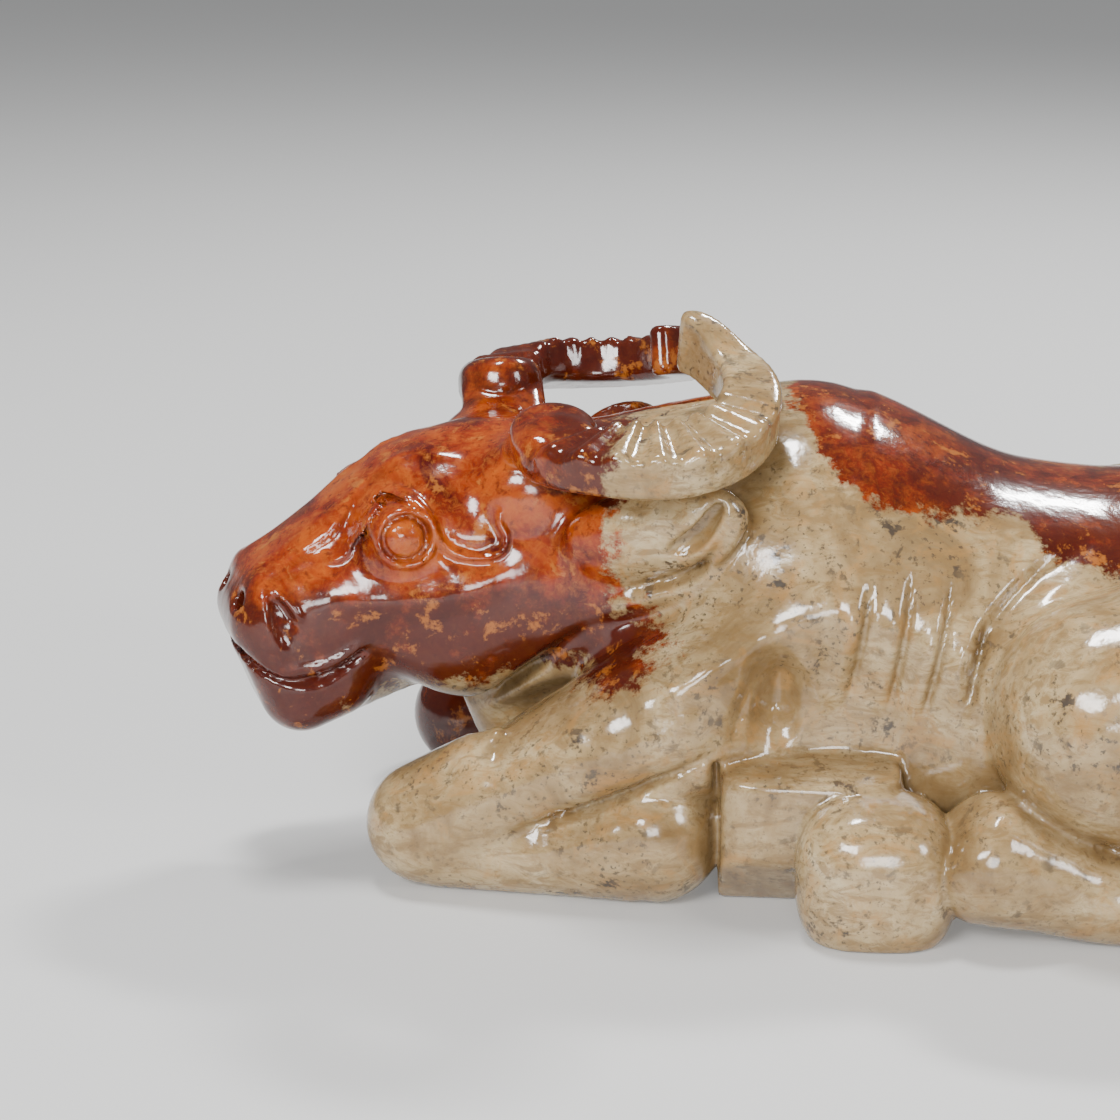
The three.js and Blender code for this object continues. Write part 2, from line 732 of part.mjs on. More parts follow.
// The tail lies on the rump, half sunk in it.
function tail(clay) {
  const rows = spline(TAIL, 2);
  const back = new THREE.Vector3(-1, 0, 0);
  const centres = rows.map(([y, z]) => clay.meet(new THREE.Vector3(BACK_END, y, z), back));
  const rings = centres.map((p, i) => {
    const ahead = centres[Math.min(i + 1, centres.length - 1)];
    const behind = centres[Math.max(i - 1, 0)];
    const along = ahead.clone().sub(behind).normalize();
    const across = new THREE.Vector3().crossVectors(along, back).normalize();
    const out = new THREE.Vector3().crossVectors(across, along);
    return [...Array(TAIL_SIDES).keys()].map((n) => {
      const turn = (2 * Math.PI * n) / TAIL_SIDES;
      const v = p.clone().addScaledVector(across, Math.cos(turn) * rows[i][2]);
      return v.addScaledVector(out, Math.sin(turn) * rows[i][2]).toArray();
    });
  });
  return loft(rings);
}

function carving() {
  const clay = bodyClay();
  const { points, faces } = skin(clay);
  let body = solidFrom(points, faces);
  for (const side of [-1, 1]) {
    body = body.add(horn(side)).add(ear(side));
    body = body.add(foreHoof(side)).add(hoof(HIND_HOOF, side)).subtract(slot(side));
  }
  body = carveSides(clay, carveHead(clay, body.add(tail(clay))));
  const ground = new THREE.BoxGeometry(3 * LENGTH, 3 * LENGTH, LENGTH);
  return body.subtract(solidOf(ground, new THREE.Matrix4().makeTranslation(0, 0, -LENGTH / 2)));
}

// The solid as a three.js mesh.
function meshOf(body, name, material) {
  const made = body.getMesh();
  const geometry = new THREE.BufferGeometry();
  geometry.setAttribute("position", new THREE.BufferAttribute(new Float32Array(made.vertProperties), 3));
  geometry.setIndex(new THREE.BufferAttribute(new Uint32Array(made.triVerts), 1));
  geometry.computeBoundingBox();
  const own = geometry.boundingBox.getSize(new THREE.Vector3());
  geometry.scale(LENGTH / own.x, WIDTH / own.y, HEIGHT / own.z);
  const flat = geometry.toNonIndexed();
  flat.computeVertexNormals();
  const mesh = new THREE.Mesh(flat, material);
  mesh.name = name;
  return mesh;
}

const JADE = new THREE.MeshStandardMaterial({ color: 0x9a7a4e, roughness: 0.22, metalness: 0 });

const root = new THREE.Group();
root.add(meshOf(carving(), "jade_ox", JADE));
export default root;
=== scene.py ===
import bpy
import numpy as np
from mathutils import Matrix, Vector


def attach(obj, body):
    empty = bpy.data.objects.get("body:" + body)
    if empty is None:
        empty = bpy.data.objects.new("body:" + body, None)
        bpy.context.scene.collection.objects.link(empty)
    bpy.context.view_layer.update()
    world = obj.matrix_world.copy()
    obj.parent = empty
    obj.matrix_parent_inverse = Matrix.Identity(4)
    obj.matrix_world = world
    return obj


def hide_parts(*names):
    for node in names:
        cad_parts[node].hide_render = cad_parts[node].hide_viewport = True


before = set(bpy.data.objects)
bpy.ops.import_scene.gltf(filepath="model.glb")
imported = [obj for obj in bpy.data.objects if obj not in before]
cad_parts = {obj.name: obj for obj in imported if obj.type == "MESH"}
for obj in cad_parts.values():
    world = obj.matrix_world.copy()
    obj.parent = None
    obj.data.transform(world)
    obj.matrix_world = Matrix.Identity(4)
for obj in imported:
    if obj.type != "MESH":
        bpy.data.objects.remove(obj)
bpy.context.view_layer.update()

MM = 0.001
MOST_TRIANGLES = 190000
UP = np.array([0.0, 0.0, 1.0])

# Head frame: a runs forward to the nose, b to the ox's left, z up.
HEAD_TURN = np.radians(20)
HEAD_FOOT = np.array([-29.5, -1.5, 0.0])
FORWARD = np.array([-np.cos(HEAD_TURN), -np.sin(HEAD_TURN), 0.0])
LEFTWARD = np.array([np.sin(HEAD_TURN), -np.cos(HEAD_TURN), 0.0])
EYE = (14.0, 34.2)

# Horns lie in a plane tilted down outward and bend round a ring.
HORN_TURN = np.radians(14)
HORN_TILT = np.radians(19)
ACROSS = np.array([np.sin(HORN_TURN), -np.cos(HORN_TURN), 0.0])
RING_CENTRE = (-15.5, -13.5)
RING_RADIUS = 9.35
HORN_START = np.radians(6)
RING_END = np.radians(250)
HORN_ROOT = (-27.5, -5.5, 39.0)
HORN_ROOT_HALF = 4.3
HORN_TIP_HALF = 1.2
HORN_LOW = 43.9
HORN_SINK = 3
HORN_THICK = 4.9
HORN_STATIONS = 60
ROOT_SHARE = 0.07
ROOT_BEVEL = 2.0
RIDGES = 9
RIDGED_SHARE = 0.66
RIDGE_ON_RIM = 0.3
NEAR_RIDGE_DEPTH = 0.75
FAR_RIDGE_DEPTH = 0.45
NEAR_TIP_LIFT = 1.4
FAR_TIP_LIFT = 0.1
NEAR_TIP_SWELL = 0.33
FAR_TIP_SWELL = 0.05
FAR_HORN_DROP = 2.3
FAR_HORN_FORWARD = 1.3

# Trunk sections: x, height of the middle, half width, half height.
TRUNK = [
    (-20, 15.5, 9, 12.5),
    (-10, 19, 16.5, 20),
    (0, 20.2, 22, 24),
    (12, 19, 24.2, 21.6),
    (28, 18, 25, 20.2),
    (42, 18, 24, 21),
    (52, 16.8, 20.5, 19),
    (59, 16, 15.5, 15.5),
    (63, 15.5, 9, 9),
    (64.4, 15.3, 1.5, 1.5),
]
# Round forms as x, y, z and radius. Those of the legs are typed for the near side.
NECK = [(-1, 0, 25.3, 20.7), (-9, -0.5, 27.8, 17.3), (-21, -2, 28.8, 14)]
DEWLAP = [(-32, -3.5, 19.5, 4.6), (-29.5, -2.5, 13.5, 5), (-24, -1, 8, 8)]
THIGH = [(28, -24, 20.4, 11.6), (36, -22.5, 20.4, 13.6), (46, -16.5, 20.4, 15.2)]
SHANK = [
    (17, -28.4, 7.9, 6.3),
    (22, -28, 6.2, 5.3),
    (28, -28, 4.3, 4.4),
    (38, -28, 4.6, 4.9),
    (50, -25.5, 7.4, 7.8),
]
FOREARM = [(0, -14.5, 23, 10), (-14, -18.3, 16.7, 8.3), (-27, -18.3, 10.7, 6.8), (-36.9, -17.5, 5.9, 6.1)]
CANNON = [(-35, -18.4, 4.1, 4.4), (-24, -19.2, 4.9, 5.3), (-15, -19.6, 6.6, 7.2)]
FLANK = [(22, -20, 6.5, 6.5), (34, -20, 6.5, 6.5), (46, -18, 8, 8)]
# Legs: the hollow of the flank, the hooves and the slot behind the folded foreleg.
FLANK_HOLLOW = {"centre": (3, 31, 19), "half": (14, 10.5, 13)}
FORE_HOOF = {"centre": (0.4, 20.3, 6.4), "half": (8.8, 7.2, 10.0), "power": 6}
HIND_HOOF = {"centre": (6.6, 27.4, 5.6), "half": (7.6, 7.2, 7.8), "power": 2.7}
HOOF_SLOT = {"centre": (-8.6, 27.5, 7.0), "half": (0.3, 5.0, 8.0), "edge": 0.2}
HOOF_TOP = 15.6
HOOF_TOP_START = 19.0
HOOF_TOP_FALL = 0.19
HOOF_UNDER_START = 20.2
HOOF_UNDER_SLOPE = 1.15
# Head forms: forward, aside and up from the foot, half sizes, dip in degrees and blend.
SKULL = {"at": (4, 0, 31.8), "half": (13.2, 11.8, 11.2), "dip": 20, "soft": 4}
FACE = [(9.5, 0, 29.8, 11), (16.5, 0, 26.4, 9.2), (21.2, 0, 24.4, 7.6)]
BRIDGE = {"at": (17.5, 0, 31.5), "half": (9.5, 4.6, 4.6), "edge": 1.6, "dip": 34, "soft": 1.5}
MUZZLE = {"at": (23, 0, 22), "half": (5.9, 8, 8.1), "edge": 4.2, "dip": 21, "soft": 2}
NOSE = {"at": (24.9, 0, 27.4), "half": (3.2, 6.8, 3.0), "edge": 1.7, "dip": 8, "soft": 1.4}
CHEEK = {"at": (3.6, 5.6, 25.7), "half": (11, 7, 8.3), "dip": 35, "soft": 3.5}
EYE_SWELLING = {"at": (EYE[0], 8.4, EYE[1]), "half": (3.6, 3.1, 3.4), "dip": 20, "soft": 2}
HORN_SWELLING = {"at": (0.8, 8.2, 38), "half": (5.6, 5, 5), "dip": 10, "soft": 2.5}
CHIN = [(20.6, 0, 17, 3.9), (12.5, 0, 21.4, 5.2)]
NOSTRIL_HOLE = {"at": (28.6, 3.9, 27.0), "half": (1.7, 1.3, 0.9), "dip": -20, "soft": 0.6}
# Tail over the rump and round the far haunch: y, z, radius, as seen from behind.
TAIL = [
    (0, 34.5, 0.8),
    (0.3, 31.5, 2.7),
    (3.5, 24, 2.5),
    (10, 17.5, 2.3),
    (18, 13.5, 2.5),
    (25, 12.5, 3.2),
    (29, 13.5, 2),
]


def ease(value, low, high):
    """Rises smoothly from nothing at low to one at high."""
    t = np.clip((value - low) / (high - low), 0, 1)
    return t * t * (3 - 2 * t)


def head_point(a, b, z):
    return HEAD_FOOT + a * FORWARD + b * LEFTWARD + UP * z


def head_axes(dip):
    """Axes of a head form whose front dips by an angle in degrees."""
    t = np.radians(dip)
    forward = FORWARD * np.cos(t) - UP * np.sin(t)
    up = FORWARD * np.sin(t) + UP * np.cos(t)
    return np.stack([forward, LEFTWARD, up], 1)


def curve(rows, steps=5):
    """Catmull-Rom curve through rows."""
    rows = np.asarray(rows, float)
    run = np.vstack([2 * rows[0] - rows[1], rows, 2 * rows[-1] - rows[-2]])
    out = []
    for i in range(1, len(run) - 2):
        p, q, r, s = run[i - 1:i + 3]
        for t in np.linspace(0, 1, steps, endpoint=False):
            bend = (2 * p - 5 * q + 4 * r - s) * t * t
            twist = (3 * q - p - 3 * r + s) * t * t * t
            out.append(0.5 * (2 * q + (r - p) * t + bend + twist))
    out.append(rows[-1])
    return np.array(out)


class Clay:
    """A block of signed distances that forms are blended into."""

    def __init__(self, xs, ys, zs):
        self.axes = (xs, ys, zs)
        self.field = np.full((len(xs), len(ys), len(zs)), 8.0, np.float32)

    def block(self, low, high):
        cut = []
        for axis, a, b in zip(self.axes, low, high):
            cut.append(slice(max(0, np.searchsorted(axis, a) - 1), np.searchsorted(axis, b) + 1))
        part = [axis[s].astype(np.float32) for axis, s in zip(self.axes, cut)]
        return tuple(cut), np.meshgrid(*part, indexing="ij", sparse=True)

    def add(self, form, soft=1.0):
        low, high, distance = form
        cut, grid = self.block(low - 4 - soft, high + 4 + soft)
        d = distance(*grid)
        old = self.field[cut]
        h = np.clip(0.5 + 0.5 * (old - d) / soft, 0, 1)
        self.field[cut] = old * (1 - h) + d * h - soft * h * (1 - h)

    def cut(self, form, soft=0.4):
        low, high, distance = form
        cut, grid = self.block(low - 1 - soft, high + 1 + soft)
        d = -distance(*grid)
        old = self.field[cut]
        h = np.clip(0.5 - 0.5 * (old - d) / soft, 0, 1)
        self.field[cut] = old * (1 - h) + d * h + soft * h * (1 - h)

    def press(self, low, high, amount):
        """Moves the surface in by an amount given as a function of place; a negative amount raises it."""
        cut, grid = self.block(np.array(low, float), np.array(high, float))
        self.field[cut] += amount(*grid).astype(np.float32)


def chain(rows, steps=5):
    """A round form of changing thickness along a curve."""
    run = curve(rows, steps)

    def distance(x, y, z):
        best = np.float32(99)
        for p, q in zip(run[:-1], run[1:]):
            d = (q - p)[:3]
            along = ((x - p[0]) * d[0] + (y - p[1]) * d[1] + (z - p[2]) * d[2]) / (d @ d)
            t = np.clip(along, 0, 1)
            dx = x - p[0] - t * d[0]
            dy = y - p[1] - t * d[1]
            dz = z - p[2] - t * d[2]
            radius = p[3] + (q[3] - p[3]) * t
            best = np.minimum(best, np.sqrt(dx * dx + dy * dy + dz * dz) - radius)
        return best

    low = (run[:, :3] - run[:, 3:]).min(0)
    high = (run[:, :3] + run[:, 3:]).max(0)
    return low, high, distance


def turned(x, y, z, centre, axes):
    dx, dy, dz = x - centre[0], y - centre[1], z - centre[2]
    return [axes[0, i] * dx + axes[1, i] * dy + axes[2, i] * dz for i in range(3)]


def ellipsoid(centre, half, axes=np.eye(3)):
    def distance(x, y, z):
        q = turned(x, y, z, centre, axes)
        near = np.sqrt(sum((v / h) ** 2 for v, h in zip(q, half)))
        slope = np.sqrt(sum((v / h ** 2) ** 2 for v, h in zip(q, half))) + 1e-6
        return near * (near - 1) / slope

    reach = np.sqrt(((axes * np.array(half)) ** 2).sum(1))
    return np.array(centre) - reach, np.array(centre) + reach, distance


def rounded_box(centre, half, edge, axes=np.eye(3)):
    def distance(x, y, z):
        q = [np.abs(v) - (h - edge) for v, h in zip(turned(x, y, z, centre, axes), half)]
        outside = np.sqrt(sum(np.maximum(v, 0) ** 2 for v in q))
        return outside + np.minimum(np.maximum(q[0], np.maximum(q[1], q[2])), 0) - edge

    reach = np.abs(axes * np.array(half)).sum(1)
    return np.array(centre) - reach, np.array(centre) + reach, distance


def squared_ball(centre, half, power, axes=np.eye(3)):
    """A form between a ball and a box, squarer with a higher power."""
    def distance(x, y, z):
        q = turned(x, y, z, centre, axes)
        near = sum(np.abs(v / h) ** power for v, h in zip(q, half)) ** (1 / power)
        return (near - 1) * min(half)

    reach = np.abs(axes * np.array(half)).sum(1)
    return np.array(centre) - reach, np.array(centre) + reach, distance


def trunk():
    run = curve(TRUNK, 6)

    def distance(x, y, z):
        centre, wide, high = (np.interp(x, run[:, 0], run[:, i]) for i in (1, 2, 3))
        past = np.maximum(0, np.maximum(run[0, 0] - x, x - run[-1, 0]))
        near = np.sqrt((y / wide) ** 2 + ((z - centre) / high) ** 2)
        return (near - 1) * np.minimum(wide, high) * 0.95 + past

    return np.array([-21, -26, -6.0]), np.array([67, 26, 46.0]), distance


def line_weight(u, v, line, half, ends=(0.0, 0.0), closed=False):
    """One on the line, falling to nothing at half its width, with faded ends."""
    rows = curve(line, 4) if len(line) > 2 else np.array(line, float)
    if closed:
        rows = np.array(line, float)
    length = np.r_[0, np.cumsum(np.sqrt(((rows[1:] - rows[:-1]) ** 2).sum(1)))]
    length = length / length[-1]
    best = np.float32(0)
    for p, q, s0, s1 in zip(rows[:-1], rows[1:], length[:-1], length[1:]):
        d = q - p
        t = np.clip(((u - p[0]) * d[0] + (v - p[1]) * d[1]) / (d @ d + 1e-9), 0, 1)
        off = np.sqrt((u - p[0] - t * d[0]) ** 2 + (v - p[1] - t * d[1]) ** 2)
        s = s0 + (s1 - s0) * t
        fade = np.ones_like(s)
        if ends[0]:
            fade = fade * np.clip(s / ends[0], 0, 1)
        if ends[1]:
            fade = fade * np.clip((1 - s) / ends[1], 0, 1)
        best = np.maximum(best, ease(1 - off / half, 0, 1) * fade)
    return best


def forward_of(x, y):
    return (x - HEAD_FOOT[0]) * FORWARD[0] + (y - HEAD_FOOT[1]) * FORWARD[1]


def left_of(x, y):
    return (x - HEAD_FOOT[0]) * LEFTWARD[0] + (y - HEAD_FOOT[1]) * LEFTWARD[1]


HEAD_LOW = (-62, -32, 8)
HEAD_HIGH = (-14, 26, 52)


def head_line(clay, side, line, half, depth, ends=(0.0, 0.0), closed=False, inner=1.5):
    """Presses a line given as a and z into one side of the head, from b = inner outward."""
    def amount(x, y, z):
        weight = line_weight(forward_of(x, y), z + 0 * x + 0 * y, line, half, ends, closed)
        return depth * weight * ease(left_of(x, y) * side, inner, inner + 2.5)

    clay.press(HEAD_LOW, HEAD_HIGH, amount)


def body_line(clay, side, low, high, line, half, depth, ends=(0.3, 0.3)):
    """Presses a line given as x and z into one flank, within a box typed for the near side."""
    def amount(x, y, z):
        return depth * line_weight(x + 0 * y + 0 * z, z + 0 * x + 0 * y, line, half, ends)

    y0, y1 = (low[1], high[1]) if side < 0 else (-high[1], -low[1])
    clay.press((low[0], y0, low[2]), (high[0], y1, high[2]), amount)


def aside(centre, side):
    return (centre[0], centre[1] * side, centre[2])


def side_rows(rows, side):
    return [(x, y * -side, z, r) for x, y, z, r in rows]


def head_rows(rows):
    return [(*head_point(a, b, z), r) for a, b, z, r in rows]


def add_legs(clay, side):
    clay.add(chain(side_rows(THIGH, side)), 0.8)
    clay.add(chain(side_rows(FLANK, side)), 2)
    clay.add(chain(side_rows(SHANK, side)), 0.9)
    clay.add(chain(side_rows(FOREARM, side)), 2.5)
    clay.add(chain(side_rows(CANNON, side)), 0.6)
    clay.cut(ellipsoid(aside(FLANK_HOLLOW["centre"], side), FLANK_HOLLOW["half"]), 3)
    clay.add(fore_hoof(side), 0.35)
    hind_hoof = squared_ball(aside(HIND_HOOF["centre"], side), HIND_HOOF["half"], HIND_HOOF["power"])
    clay.add(hind_hoof, 0.25)
    slot = rounded_box(aside(HOOF_SLOT["centre"], side), HOOF_SLOT["half"], HOOF_SLOT["edge"])
    clay.cut(slot, 0.6)


def fore_hoof(side):
    """A block with a flat top that slopes outward and an underside rounded back under it."""
    centre = aside(FORE_HOOF["centre"], side)
    low, high, block = squared_ball(centre, FORE_HOOF["half"], FORE_HOOF["power"])

    def distance(x, y, z):
        out = side * y
        top = (z - HOOF_TOP + (out - HOOF_TOP_START) * HOOF_TOP_FALL) * 0.98
        under = (out - HOOF_UNDER_START - HOOF_UNDER_SLOPE * z) * 0.65
        return np.maximum(np.maximum(block(x, y, z), top), under)

    return low, high, distance


def head_form(form, side=1):
    """A rounded box where the form has an edge, and an ellipsoid where it has none."""
    centre = head_point(*aside(form["at"], side))
    axes = head_axes(form["dip"])
    if "edge" in form:
        return rounded_box(centre, form["half"], form["edge"], axes)
    return ellipsoid(centre, form["half"], axes)


def add_head(clay):
    clay.add(head_form(SKULL), SKULL["soft"])
    clay.add(chain(head_rows(FACE)), 3)
    for form in (BRIDGE, MUZZLE, NOSE):
        clay.add(head_form(form), form["soft"])
    for side in (-1, 1):
        for form in (CHEEK, EYE_SWELLING, HORN_SWELLING):
            clay.add(head_form(form, side), form["soft"])
    clay.add(chain(head_rows(CHIN)), 1.5)


def mirrored(v, side):
    if side < 0:
        return v
    return v - 2 * (v @ ACROSS) * ACROSS


def horn_line(side):
    """Centre, half width and place along the length of one horn."""
    rows = [(np.array(HORN_ROOT), HORN_ROOT_HALF, 0.0)]
    for t in np.linspace(0, 1, HORN_STATIONS):
        turn = HORN_START + (RING_END - HORN_START) * t
        x = RING_CENTRE[0] - RING_RADIUS * np.cos(turn)
        y = RING_CENTRE[1] - RING_RADIUS * np.sin(turn)
        rise = np.tan(HORN_TILT) * (y - RING_CENTRE[1] + RING_RADIUS)
        sink = HORN_SINK * (1 - ease(t, 0, 0.3))
        half = HORN_ROOT_HALF + (HORN_TIP_HALF - HORN_ROOT_HALF) * (0.4 * t + 0.6 * t ** 3.5)
        rows.append((np.array([x, y, HORN_LOW + rise - sink]), half, t))
    lift = NEAR_TIP_LIFT if side < 0 else FAR_TIP_LIFT
    out = []
    for p, half, t in rows:
        p = mirrored(p - HEAD_FOOT, side) + HEAD_FOOT
        if side > 0:
            p = p - UP * FAR_HORN_DROP * ease(t, 0.2, 0.9) + FORWARD * FAR_HORN_FORWARD * (1 - t)
        p = p + UP * lift * ease(t, 0.86, 1)
        out.append((p, half, t))
    return out


def bevelled(flat, thick, bevel):
    """Distance to a slab with rounded edges, from how far a point lies past its rim and its face."""
    outside = np.sqrt(np.maximum(flat, 0) ** 2 + np.maximum(thick, 0) ** 2)
    return outside + np.minimum(np.maximum(flat, thick), 0) - bevel


def ridged_blade(side, near, rise, half, place):
    """The horn beyond its root, with rings cut across its upper face and rim."""
    depth = NEAR_RIDGE_DEPTH if side < 0 else FAR_RIDGE_DEPTH
    swell = NEAR_TIP_SWELL if side < 0 else FAR_TIP_SWELL
    wave = 0.5 - 0.5 * np.cos(2 * np.pi * RIDGES * place / RIDGED_SHARE)
    ridged = ease(place, 0.06, 0.11) * ease(-place, -0.68, -0.62)
    groove = depth * wave * ridged * ease(rise, -0.6, 0.3)
    high = HORN_THICK / 2 * (1 + swell * ease(place, 0.82, 1))
    edge = np.minimum(2.1 - 1.4 * ease(place, 0.0, 0.35), high * 0.8)
    across = near - half + edge + groove * RIDGE_ON_RIM
    over = np.abs(rise) - high + edge + groove
    return bevelled(across, over, edge)


def horn(side):
    """A flat blade along the horn's line: a plain root, then the part of the nearest station."""
    rows = horn_line(side)
    outward = ACROSS if side < 0 else -ACROSS
    normal = UP * np.cos(HORN_TILT) + outward * np.sin(HORN_TILT)

    def distance(x, y, z):
        shape = np.broadcast(x, y, z).shape
        root = np.float32(99)
        near = np.full(shape, 99, np.float32)
        rise, half, place = (np.zeros(shape, np.float32) for _ in range(3))
        for (p, p_half, p_place), (q, q_half, q_place) in zip(rows[:-1], rows[1:]):
            d = q - p
            d = d - normal * (d @ normal)
            t = np.clip(((x - p[0]) * d[0] + (y - p[1]) * d[1] + (z - p[2]) * d[2]) / (d @ d), 0, 1)
            c = [p[i] + (q[i] - p[i]) * t for i in range(3)]
            rx, ry, rz = x - c[0], y - c[1], z - c[2]
            v = rx * normal[0] + ry * normal[1] + rz * normal[2]
            u = np.sqrt(np.maximum(rx * rx + ry * ry + rz * rz - v * v, 0))
            wide = p_half + (q_half - p_half) * t
            if q_place < ROOT_SHARE:
                thick = np.abs(v) - HORN_THICK / 2 + ROOT_BEVEL
                root = np.minimum(root, bevelled(u - wide + ROOT_BEVEL, thick, ROOT_BEVEL))
                continue
            closer = u < near
            near = np.where(closer, u, near)
            rise = np.where(closer, v, rise)
            half = np.where(closer, wide, half)
            place = np.where(closer, p_place + (q_place - p_place) * t, place)
        return np.minimum(ridged_blade(side, near, rise, half, place), root)

    points = np.array([p for p, _, _ in rows])
    return points.min(0) - 5, points.max(0) + 5, distance


# Ear forms as length, face and edge distances from its centre, and radius.
EAR_HOLLOW = [
    (1.2, 2.6, 1.7, 0.6),
    (2.6, 2.4, 1.2, 1.2),
    (4.0, 2.2, 0.4, 1.4),
    (5.4, 1.8, -0.5, 1.2),
    (6.8, 1.2, -1.3, 0.6),
]
EAR_LID = [(1.6, 2.0, 0.2, 0.4), (3.8, 1.9, -0.9, 0.7), (6.2, 1.2, -2.0, 0.4)]
EAR_SLIT = [(1.4, 2.0, 1.1, 0.3), (4.0, 1.4, -0.2, 0.4), (6.4, 0.9, -1.5, 0.3)]
EAR_CENTRE = np.array([-14.6, -17.2, 35.6])
FAR_EAR_SHIFT = 4.5


def ear_axes(side):
    """Centre of the ear, then its length, face and edge directions."""
    centre = mirrored(EAR_CENTRE - HEAD_FOOT, side) + HEAD_FOOT
    if side > 0:
        centre = centre + ACROSS * FAR_EAR_SHIFT
    aim = mirrored(np.array([0.90, -0.20, 0.30]), side)
    aim = aim / np.linalg.norm(aim)
    face = mirrored(np.array([-0.10, -0.95, -0.15]), side)
    face = face - aim * (face @ aim)
    face = face / np.linalg.norm(face)
    edge = np.cross(aim, face) * -side
    return centre, aim, face, edge


def ear_rows(rows, side):
    centre, aim, face, edge = ear_axes(side)
    return [(*(centre + aim * a + face * f + edge * e), r) for a, f, e, r in rows]


def add_ear(clay, side):
    centre, aim, face, edge = ear_axes(side)
    axes = np.stack([aim, face, edge], 1)
    clay.add(ellipsoid(centre - aim * 3.0 - face * 0.6, (7.0, 3.0, 4.4), axes), 1.2)
    clay.add(ellipsoid(centre + aim * 2.4, (6.6, 2.5, 4.2), axes), 0.5)
    clay.cut(chain(ear_rows(EAR_HOLLOW, side)), 0.4)
    clay.add(chain(ear_rows(EAR_LID, side)), 0.5)
    clay.cut(chain(ear_rows(EAR_SLIT, side)), 0.3)


# Lines of the head as a and z.
BROW = [
    (21.2, 32.0), (20.4, 31.5), (19.4, 32.0), (18.4, 33.6), (17.3, 35.9), (16.0, 37.4), (14.5, 38.1),
    (12.8, 37.5), (11.5, 36.0), (10.8, 34.2), (9.7, 32.8), (8.0, 32.2), (6.0, 32.2), (4.7, 33.0),
    (4.4, 34.2), (5.0, 35.4), (4.9, 37.0),
]
BRIDGE_EDGE = [
    (26.8, 30.4), (24.6, 31.4), (22.9, 32.3), (20.8, 33.8), (19.2, 35.4), (17.5, 37.4), (15.8, 39.3),
    (13.7, 40.7), (10.7, 41.2), (6.1, 41.0),
]
CHEEKBONE = [(23.0, 28.2), (19.0, 28.0), (15.5, 27.6), (11.0, 28.2), (7.0, 29.4), (3.5, 30.8)]
FRONT_EDGE = [(27.4, 29.4), (27.3, 27.1), (26.7, 24.5), (25.4, 21.8)]
NOSTRIL_BED = [(26.4, 27.0), (25.8, 25.4), (25.2, 23.8)]
NOSTRIL = [(26.2, 28.8), (25.0, 27.7), (23.8, 25.7)]
NOSTRIL_LIP = [(a + 0.4, z - 0.7) for a, z in NOSTRIL]
MOUTH = [(29.5, 22.5), (27.7, 20.9), (25.6, 19.9), (23.2, 19.9), (20.2, 20.7), (17.3, 22.6)]
UPPER_LIP = [(25.4, 21.1), (22.6, 21.1), (20.0, 22.0), (17.4, 23.8)]
LOWER_LIP = [(25.4, 18.7), (22.6, 18.7), (19.6, 19.6)]
JAW = [(8.8, 13.0), (5.2, 16.0), (1.6, 19.6), (-2.4, 22.6)]
# Each line's half width, depth, faded ends and distance from the middle where it starts.
FACE_LINES = [
    (BRIDGE_EDGE, 0.9, -0.35, (0.08, 0.15), 1.5),
    (CHEEKBONE, 2.6, -0.5, (0.2, 0.25), 3),
    (FRONT_EDGE, 0.8, -0.3, (0.15, 0.25), 4),
    (NOSTRIL_BED, 1.7, 0.5, (0.3, 0.3), 3),
    (NOSTRIL_LIP, 0.9, 0.6, (0.2, 0.3), 3),
    (NOSTRIL, 0.5, -0.6, (0.2, 0.2), 3),
    (MOUTH, 0.5, 0.8, (0.0, 0.1), -1.25),
    (UPPER_LIP, 0.75, -0.4, (0.3, 0.2), 1.5),
    (LOWER_LIP, 0.9, -0.25, (0.3, 0.3), 1.5),
]


def eye_ring(wide, high, count):
    turns = np.linspace(0, 2 * np.pi, count)
    return [(EYE[0] + wide * np.cos(t), EYE[1] + high * np.sin(t)) for t in turns]


def carve_head(clay, side):
    head_line(clay, side, eye_ring(2.75, 2.75, 25), 0.6, -0.45, closed=True)
    head_line(clay, side, eye_ring(2.1, 2.05, 25), 0.5, 0.55, closed=True)
    head_line(clay, side, eye_ring(1.3, 1.15, 17), 0.3, 0.2, closed=True)
    near = side > 0
    start = 1.0 if near else 5.5
    head_line(clay, side, BROW, 1.9, 0.35 if near else 0.15, ends=(0.06, 0.06), inner=start)
    head_line(clay, side, BROW, 0.55, -0.75 if near else -0.35, ends=(0.04, 0.06), inner=start)
    for line, half, depth, ends, start in FACE_LINES:
        head_line(clay, side, line, half, depth, ends=ends, inner=start)
    clay.cut(head_form(NOSTRIL_HOLE, side), NOSTRIL_HOLE["soft"])
    head_line(clay, side, JAW, 1.7, 1.1, ends=(0.15, 0.3))


